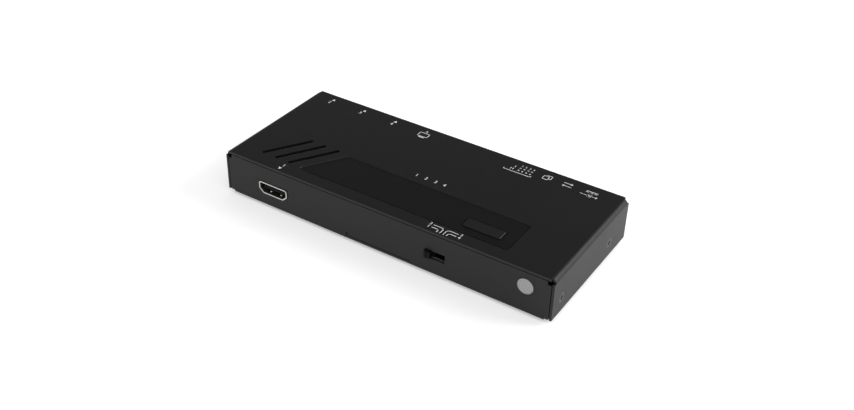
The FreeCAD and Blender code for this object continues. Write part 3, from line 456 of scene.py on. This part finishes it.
def solder_mask(name):
    """Green solder mask with paler tracks and small via pads."""
    finish = start_finish(name, 0.32)
    across = finish.noise(0.006, 1, (1, 5, 1))
    along = finish.noise(0.006, 1, (5, 1, 1))
    tracks = finish.ramp(across, TRACK_STOPS).largest(finish.ramp(along, TRACK_STOPS))
    vias = finish.cells(0.0035) < 0.09
    green = finish.blend(tracks, (0.012, 0.075, 0.035, 1), (0.03, 0.15, 0.07, 1))
    finish.set(
        Base_Color=finish.blend(vias, green, (0.60, 0.52, 0.34, 1)),
        Metallic=vias * 0.9,
        Normal=finish.bump(tracks, 0.00003))
    return finish.owner


def anodised(name):
    """Dark anodised extrusion with lines along its fins."""
    finish = start_finish(name, 0.40, metallic=0.85)
    lines = finish.noise(0.0012, 3, (6, 0.4, 1))
    finish.set(
        Base_Color=finish.blend(lines, (0.05, 0.05, 0.055, 1), (0.10, 0.10, 0.105, 1)),
        Roughness=0.34 + 0.14 * lines,
        Normal=finish.bump(lines, 0.00001))
    return finish.owner


def clear_plastic(name, tint, clearness):
    """Clear moulded plastic that is faintly cloudy inside."""
    finish = start_finish(name, 0.12)
    haze = finish.noise(0.002, 2)
    finish.set(
        Base_Color=finish.blend(haze, shade(tint, 0.9), shade(tint, 1.05)),
        Transmission_Weight=clearness,
        Roughness=0.10 + 0.12 * haze)
    return finish.owner


def screen_print(name, ink):
    """Slightly uneven screen-printed ink."""
    finish = start_finish(name, 0.55, specular=0.3)
    patches = finish.noise(0.0009, 3)
    mesh_lines = finish.cells(0.00016)
    finish.set(
        Base_Color=finish.blend(patches, shade(ink, 0.80), shade(ink, 1.12)),
        Roughness=0.50 + 0.1 * patches,
        Normal=finish.bump(mesh_lines, 0.000004))
    return finish.owner


def coat(slot, material):
    """Gives every node of a material slot that material."""
    coat_nodes([part["node"] for part in frame["record"]["subparts"]
                if part["material_slot"] == slot], material)


def coat_nodes(nodes, material):
    if not nodes:
        raise RuntimeError(f"no node takes {material.name}")
    for node in nodes:
        surface = frame["nodes"][node].data
        surface.materials.clear()
        surface.materials.append(material)


class Print:
    """A layer of print on the top of the case, drawn in millimetres seen from above."""

    def __init__(self, look):
        self.look = look
        self.mesh = bmesh.new()
        self.floor = COVER_HIGH.z

    def slab(self, centre, length, width, angle=0.0):
        """A flat printed rectangle, turned about its middle."""
        rise = self.look.ink_height
        place = (Matrix.Translation((centre[0] * MM, centre[1] * MM, self.floor + rise / 2))
                 @ Matrix.Rotation(angle, 4, "Z")
                 @ Matrix.Diagonal((length * MM, width * MM, rise, 1)))
        bmesh.ops.create_cube(self.mesh, size=1, matrix=place)

    def line(self, *points):
        """Printed strokes through the points, each longer by a line's width to close corners."""
        width = self.look.line_width / MM
        for start, end in zip(points, points[1:]):
            step = Vector(end) - Vector(start)
            middle = (Vector(start) + Vector(end)) / 2
            self.slab(middle, step.length + width * LINE_OVERLAP, width, math.atan2(step.y, step.x))

    def lines(self, strokes):
        """Several lines, each given by its points."""
        for points in strokes:
            self.line(*points)

    def disc(self, x, y, radius, sides=20, turn=0.0):
        """A printed dot, or a polygon with few sides."""
        rise = self.look.ink_height
        place = (Matrix.Translation((x * MM, y * MM, self.floor + rise / 2))
                 @ Matrix.Rotation(turn, 4, "Z"))
        bmesh.ops.create_cone(self.mesh, cap_ends=True, segments=sides, radius1=radius * MM,
                              radius2=radius * MM, depth=rise, matrix=place)

    def arrow(self, x, y, radius=0.95):
        """A solid triangle whose tip points to the nearer long edge."""
        self.disc(x, y, radius, 3, 0.0 if y > 0 else math.pi)

    def ring(self, x, y, radius, gap):
        """A printed ring, open to the right by the gap's angle."""
        turn = (2 * math.pi - gap) / RING_STEPS
        angles = [gap / 2 + turn * step for step in range(RING_STEPS + 1)]
        self.line(*((x + radius * math.cos(angle), y + radius * math.sin(angle))
                    for angle in angles))

    def figures(self, text, x, y, height=None):
        """Printed figures centred on a point."""
        curve = bpy.data.curves.new("figures", "FONT")
        curve.body = text
        curve.align_x = "CENTER"
        curve.align_y = "CENTER"
        curve.size = (height or self.look.figure_height) * FONT_SIZE_PER_FIGURE
        curve.extrude = self.look.ink_height / 2
        curve.resolution_u = 3
        holder = bpy.data.objects.new("figures", curve)
        bpy.context.scene.collection.objects.link(holder)
        bpy.context.view_layer.update()
        flat = bpy.data.meshes.new_from_object(holder)
        flat.transform(Matrix.Translation((x * MM, y * MM, self.floor + self.look.ink_height / 2)))
        self.mesh.from_mesh(flat)
        bpy.data.objects.remove(holder)
        bpy.data.curves.remove(curve)
        bpy.data.meshes.remove(flat)

    def press(self, name):
        """Turns the layer into a piece of the case."""
        bmesh.ops.remove_doubles(self.mesh, verts=self.mesh.verts, dist=1e-7)
        finished_piece(name, self.mesh, ink_material(self.look))


def ink_material(look):
    """The one ink that all print shares."""
    return bpy.data.materials.get("screen print") or screen_print("screen print", look.ink)


def finished_piece(name, mesh, material, smooth=False):
    """Turns a bmesh into a piece that rides on the housing."""
    bmesh.ops.recalc_face_normals(mesh, faces=mesh.faces)
    for face in mesh.faces:
        face.smooth = smooth
    surface = bpy.data.meshes.new(name)
    mesh.to_mesh(surface)
    mesh.free()
    surface.materials.append(material)
    piece = bpy.data.objects.new(name, surface)
    bpy.context.scene.collection.objects.link(piece)
    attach(piece, "housing")


class SWITCHBOX_OT_paint_case(bpy.types.Operator):
    """Powder-coat the folded cover and the tray, and finish the screws and the feet"""

    bl_idname = "switchbox.paint_case"
    bl_label = "Paint Case"

    def execute(self, context):
        coat("painted_steel", powder_coat("black powder coat", context.scene.switchbox_paint))
        coat("black_screw", drawn_metal(
            "blackened steel", (0.055, 0.055, 0.06), 0.42, stretch=(1, 1, 1), feature=1.2 * MM))
        coat("rubber", moulded(
            "black rubber", (0.018, 0.018, 0.018), 0.75, grain=0.6 * MM, depth=0.03 * MM,
            specular=0.3))
        return {"FINISHED"}


class SWITCHBOX_OT_finish_controls(bpy.types.Operator):
    """Finish the film in the recess, the buttons, the mode slider and the option sliders"""

    bl_idname = "switchbox.finish_controls"
    bl_label = "Finish Controls"

    def execute(self, context):
        look = context.scene.switchbox_controls
        coat("panel_film", panel_film("satin film", look.film_colour))
        coat("black_plastic", moulded(
            "black moulded plastic", (0.0075, 0.0075, 0.0082), 0.48, specular=0.25))
        coat("grey_plastic", frosted_button("frosted grey plastic", look.button_colour))
        dark = moulded(
            "black glass-filled plastic", (0.005, 0.005, 0.005), 0.55, specular=0.12)
        coat_nodes(["mode_switch_knob", "mode_switch_body"], dark)
        coat_nodes([node for node in frame["nodes"] if node.endswith("_insert")], dark)
        coat("white_plastic", moulded(
            "white moulded plastic", (0.78, 0.78, 0.75), 0.40, spread=0.03))
        return {"FINISHED"}


class SWITCHBOX_OT_finish_sockets(bpy.types.Operator):
    """Finish the socket shells, the jack's metal and the contacts"""

    bl_idname = "switchbox.finish_sockets"
    bl_label = "Finish Sockets"

    def execute(self, context):
        coat("plated_steel", drawn_metal("bright plated steel", (0.62, 0.61, 0.58), 0.30))
        coat("contact_metal", drawn_metal(
            "gold flashed contacts", (0.80, 0.60, 0.27), 0.28, stretch=(1, 8, 1), feature=2 * MM))
        return {"FINISHED"}


class SWITCHBOX_OT_add_spring_tips(bpy.types.Operator):
    """Raise the polished tips of the two spring fingers in each socket's lower wall"""

    bl_idname = "switchbox.add_spring_tips"
    bl_label = "Add Spring Tips"

    def execute(self, context):
        mesh = bmesh.new()
        shells = [node for node in frame["nodes"]
                  if node.startswith("hdmi") and node.endswith("_shell")]
        for node in shells:
            low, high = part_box(node)
            rim, inward = (low.y, 1) if low.y < 0 else (high.y, -1)
            wall = low.z + SOCKET_WALL
            for side in (-1, 1):
                centre = Vector((
                    (low.x + high.x) / 2 + side * TIP_SPREAD, rim + inward * TIP_DEPTH, wall))
                place = Matrix.Translation(centre) @ Matrix.Diagonal(TIP_STRETCH)
                made = bmesh.ops.create_uvsphere(
                    mesh, u_segments=20, v_segments=12, radius=TIP_R, matrix=place)
                ball = list({part for vert in made["verts"]
                             for part in (vert, *vert.link_edges, *vert.link_faces)})
                bmesh.ops.bisect_plane(mesh, geom=ball, plane_co=(0, 0, wall - TIP_ROOT),
                                       plane_no=(0, 0, 1), clear_inner=True)
        bmesh.ops.holes_fill(mesh, edges=[edge for edge in mesh.edges if edge.is_boundary], sides=0)
        polished = drawn_metal(
            "polished spring steel", (0.86, 0.85, 0.83), 0.22, stretch=(1, 1, 1), feature=1 * MM)
        finished_piece("socket_spring_tips", mesh, polished, smooth=True)
        return {"FINISHED"}


class SWITCHBOX_OT_add_lower_folds(bpy.types.Operator):
    """Sharpen the tray's long lower folds, front and rear, between the rounded ends of its walls"""

    bl_idname = "switchbox.add_lower_folds"
    bl_label = "Add Lower Folds"

    def execute(self, context):
        low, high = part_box("chassis")
        mesh = bmesh.new()
        for y, inward in ((low.y, 1), (high.y, -1)):
            corners = [
                mesh.verts.new((low.x + FOLD_FROM_END, y + inward * across * MM, low.z + up * MM))
                for across, up in FOLD_SECTION]
            end = mesh.faces.new(corners)
            swept = bmesh.ops.extrude_face_region(mesh, geom=[end])
            far = [part for part in swept["geom"] if isinstance(part, bmesh.types.BMVert)]
            length = high.x - low.x - 2 * FOLD_FROM_END
            bmesh.ops.translate(mesh, verts=far, vec=(length, 0, 0))
        paint = bpy.data.materials["black powder coat"]
        finished_piece("tray_lower_folds", mesh, paint)
        return {"FINISHED"}


class SWITCHBOX_OT_finish_board(bpy.types.Operator):
    """Finish the circuit board and all that stands on it"""

    bl_idname = "switchbox.finish_board"
    bl_label = "Finish Board"

    def execute(self, context):
        coat("board", solder_mask("green solder mask"))
        coat("brass", drawn_metal(
            "turned brass", (0.72, 0.53, 0.25), 0.30, stretch=(1, 1, 6), feature=2 * MM))
        coat("chip", moulded(
            "moulded chip body", (0.022, 0.022, 0.024), 0.55, grain=0.12 * MM, depth=0.008 * MM))
        coat("pad", moulded(
            "soft thermal pad", (0.42, 0.47, 0.53), 0.80, grain=0.8 * MM, depth=0.03 * MM))
        coat("heat_sink", anodised("dark anodised extrusion"))
        coat("can_metal", drawn_metal(
            "drawn can", (0.74, 0.74, 0.75), 0.27, stretch=(1, 1, 10), feature=2 * MM))
        coat("led", clear_plastic("lamp lens", (0.86, 0.86, 0.80), 0.35))
        coat("clear_plastic", clear_plastic("clear light guide", (0.82, 0.84, 0.86), 0.85))
        return {"FINISHED"}


class SWITCHBOX_OT_print_socket_marks(bpy.types.Operator):
    """Print an arrow and a number at each input socket, and a screen at the output"""

    bl_idname = "switchbox.print_socket_marks"
    bl_label = "Print Socket Marks"

    def execute(self, context):
        layer = Print(context.scene.switchbox_print)
        for figure, arrow_x, arrow_y, x, y in REAR_INPUT_MARKS:
            layer.arrow(arrow_x, arrow_y)
            layer.figures(figure, x, y)
        layer.arrow(-51.9, -30.85)
        layer.figures("1", -51.6, -28.5)
        layer.line(*SCREEN_SIGN)
        layer.slab((-16.9, 24.55), 2.8, 0.55)
        layer.arrow(-16.9, 29.75, 0.7)
        layer.press("print_socket_marks")
        return {"FINISHED"}


class SWITCHBOX_OT_print_source_numbers(bpy.types.Operator):
    """Print the source numbers over the recess, one above each lamp"""

    bl_idname = "switchbox.print_source_numbers"
    bl_label = "Print Source Numbers"

    def execute(self, context):
        layer = Print(context.scene.switchbox_print)
        for figure, x in SOURCE_FIGURES:
            layer.figures(figure, x, SOURCE_FIGURES_Y)
        layer.press("print_source_numbers")
        return {"FINISHED"}


class SWITCHBOX_OT_print_option_table(bpy.types.Operator):
    """Print the table of the option sliders: a number for each, with its up and down places"""

    bl_idname = "switchbox.print_option_table"
    bl_label = "Print Option Table"

    def execute(self, context):
        layer = Print(context.scene.switchbox_print)
        for number, x in enumerate(OPTION_COLUMNS, 1):
            layer.figures(str(number), x, 29.3, OPTION_FIGURE)
            layer.line((x - 0.3, 27.3), (x, 27.75), (x + 0.3, 27.3))
            layer.disc(x, 25.5, 0.34)
        for y, count in ((27.6, 1), (25.5, 2)):
            for step in range(count):
                x = 29.4 - step * 1.1
                layer.line((x, y - 0.5), (x, y + 0.5))
        layer.lines(OPTION_BRACKET)
        layer.press("print_option_table")
        return {"FINISHED"}


class SWITCHBOX_OT_print_slider_lines(bpy.types.Operator):
    """Print the lines from each place of the mode slider to its number"""

    bl_idname = "switchbox.print_slider_lines"
    bl_label = "Print Slider Lines"

    def execute(self, context):
        layer = Print(context.scene.switchbox_print)
        layer.lines(SLIDER_LINES)
        for figure, x, y in SLIDER_FIGURES:
            layer.figures(figure, x, y, SLIDER_FIGURE)
        layer.press("print_slider_lines")
        return {"FINISHED"}


class SWITCHBOX_OT_print_rear_marks(bpy.types.Operator):
    """Print plain signs for the copy button, the serial jack and the power jack"""

    bl_idname = "switchbox.print_rear_marks"
    bl_label = "Print Rear Marks"

    def execute(self, context):
        layer = Print(context.scene.switchbox_print)
        layer.lines(COPY_SIGN)
        layer.lines(SERIAL_SIGN)
        layer.ring(*POWER_MIDDLE, 1.15, 1.5)
        layer.disc(*POWER_MIDDLE, 0.42)
        layer.lines(POWER_SIGN)
        for start in POWER_DASHES:
            layer.line((start, POWER_DASHES_Y), (start + POWER_DASH, POWER_DASHES_Y))
        layer.press("print_rear_marks")
        return {"FINISHED"}


def white_floor(look):
    """Pale floor that shows white to the camera and in reflections, and keeps the shadow."""
    finish = Finish(bpy.data.materials.new("pale floor"))
    finish.tree.nodes.remove(finish.shader)
    mottle = finish.noise(0.05, 2)
    paint = finish.blend(mottle, shade(look.floor_colour, 0.995), shade(look.floor_colour, 1.005))
    matt = finish.node("ShaderNodeBsdfDiffuse", values={"Color": paint})
    seen = finish.seen_by("Camera", "Glossy", "Transmission")
    glow = finish.node("ShaderNodeEmission", values={
        "Color": (1, 1, 1, 1), "Strength": seen * FLOOR_GLOW})
    both = finish.node("ShaderNodeAddShader", values={0: matt, 1: glow})
    finish.give(finish.tree.nodes["Material Output"].inputs["Surface"], both)
    return finish.owner


def light_room(scene):
    """A white surround for the camera, even light, and reflections of a room darker overhead."""
    world = bpy.data.worlds.new("studio")
    scene.world = world
    finish = Finish(world)
    up = finish.node("ShaderNodeSeparateXYZ", values={
        0: finish.node("ShaderNodeTexCoord", output="Generated")}, output="Z")
    seen = finish.seen_by("Camera", "Transmission")
    mirrored = finish.seen_by("Glossy")
    room = mirrored * finish.ramp(up, ROOM_BY_HEIGHT) + (1 - mirrored) * ROOM_LIGHT
    background = finish.tree.nodes["Background"].inputs
    finish.give(background["Strength"], seen + (1 - seen) * room)
    finish.give(background["Color"], (1, 1, 1, 1))


def add_lamp(scene, name, power, size, place, target):
    """A rectangular soft lamp that faces its target."""
    lamp = bpy.data.lights.new(name, "AREA")
    lamp.energy = power
    lamp.shape = "RECTANGLE"
    lamp.size, lamp.size_y = size
    holder = bpy.data.objects.new(name, lamp)
    holder.location = place
    holder.rotation_mode = "QUATERNION"
    holder.rotation_quaternion = (Vector(target) - Vector(place)).to_track_quat("-Z", "Y")
    scene.collection.objects.link(holder)


def add_camera(scene, lens):
    """The photograph's camera: where it stands, which way it looks and its slight roll."""
    azimuth, elevation, roll = map(
        math.radians, (CAMERA_AZIMUTH, CAMERA_ELEVATION, CAMERA_ROLL))
    back = Vector((math.sin(azimuth) * math.cos(elevation),
                   -math.cos(azimuth) * math.cos(elevation), math.sin(elevation)))
    right = (-back).cross(Vector((0, 0, 1))).normalized()
    up = right.cross(-back)
    side = math.cos(roll) * right + math.sin(roll) * up
    top = math.cos(roll) * up - math.sin(roll) * right
    data = bpy.data.cameras.new("photo camera")
    data.sensor_fit = "HORIZONTAL"
    data.sensor_width = SENSOR_WIDTH_MM
    data.lens = lens
    data.clip_start = NEAREST_SEEN
    camera = bpy.data.objects.new("photo camera", data)
    turn = Matrix((side, top, back)).transposed().to_4x4()
    camera.matrix_world = Matrix.Translation(CAMERA_PLACE) @ turn
    scene.collection.objects.link(camera)
    scene.camera = camera


class SWITCHBOX_OT_set_stage(bpy.types.Operator):
    """Lay the pale floor, and set the soft lamps, the surround and the photograph's camera"""

    bl_idname = "switchbox.set_stage"
    bl_label = "Set Stage"

    def execute(self, context):
        scene, look = context.scene, context.scene.switchbox_studio
        sheet = bmesh.new()
        bmesh.ops.create_grid(sheet, x_segments=1, y_segments=1, size=FLOOR_SIZE)
        surface = bpy.data.meshes.new("floor")
        sheet.to_mesh(surface)
        sheet.free()
        surface.materials.append(white_floor(look))
        floor = bpy.data.objects.new("floor", surface)
        scene.collection.objects.link(floor)
        light_room(scene)
        for name, power, size, place, target in LAMPS:
            add_lamp(scene, name, getattr(look, power), size, place, target)
        add_camera(scene, look.lens)
        scene.view_settings.view_transform = "Standard"
        return {"FINISHED"}


STEPS = (
    SWITCHBOX_OT_paint_case,
    SWITCHBOX_OT_finish_controls,
    SWITCHBOX_OT_finish_sockets,
    SWITCHBOX_OT_add_spring_tips,
    SWITCHBOX_OT_add_lower_folds,
    SWITCHBOX_OT_finish_board,
    SWITCHBOX_OT_print_socket_marks,
    SWITCHBOX_OT_print_source_numbers,
    SWITCHBOX_OT_print_option_table,
    SWITCHBOX_OT_print_slider_lines,
    SWITCHBOX_OT_print_rear_marks,
    SWITCHBOX_OT_set_stage,
)


class SWITCHBOX_PT_steps(bpy.types.Panel):
    """The steps that dress the switch box, in order"""

    bl_idname = "SWITCHBOX_PT_steps"
    bl_label = "Switch Box"
    bl_space_type = "VIEW_3D"
    bl_region_type = "UI"
    bl_category = "Switch Box"

    def draw(self, context):
        for step in STEPS:
            self.layout.operator(step.bl_idname)
        for name in LOOKS:
            look = getattr(context.scene, name)
            for value in look.__annotations__:
                self.layout.prop(look, value)


LOOKS = {
    "switchbox_paint": CasePaint,
    "switchbox_controls": ControlLook,
    "switchbox_print": PrintLook,
    "switchbox_studio": StudioLook,
}


def register():
    for look in LOOKS.values():
        bpy.utils.register_class(look)
    for step in (*STEPS, SWITCHBOX_PT_steps):
        bpy.utils.register_class(step)
    for name, look in LOOKS.items():
        setattr(bpy.types.Scene, name, bpy.props.PointerProperty(type=look))


def unregister():
    for name in LOOKS:
        delattr(bpy.types.Scene, name)
    for step in reversed((*STEPS, SWITCHBOX_PT_steps)):
        bpy.utils.unregister_class(step)
    for look in reversed(list(LOOKS.values())):
        bpy.utils.unregister_class(look)


def main():
    register()
    for step in STEPS:
        group, action = step.bl_idname.split(".")
        getattr(getattr(bpy.ops, group), action)()


if __name__ == "__main__":
    main()
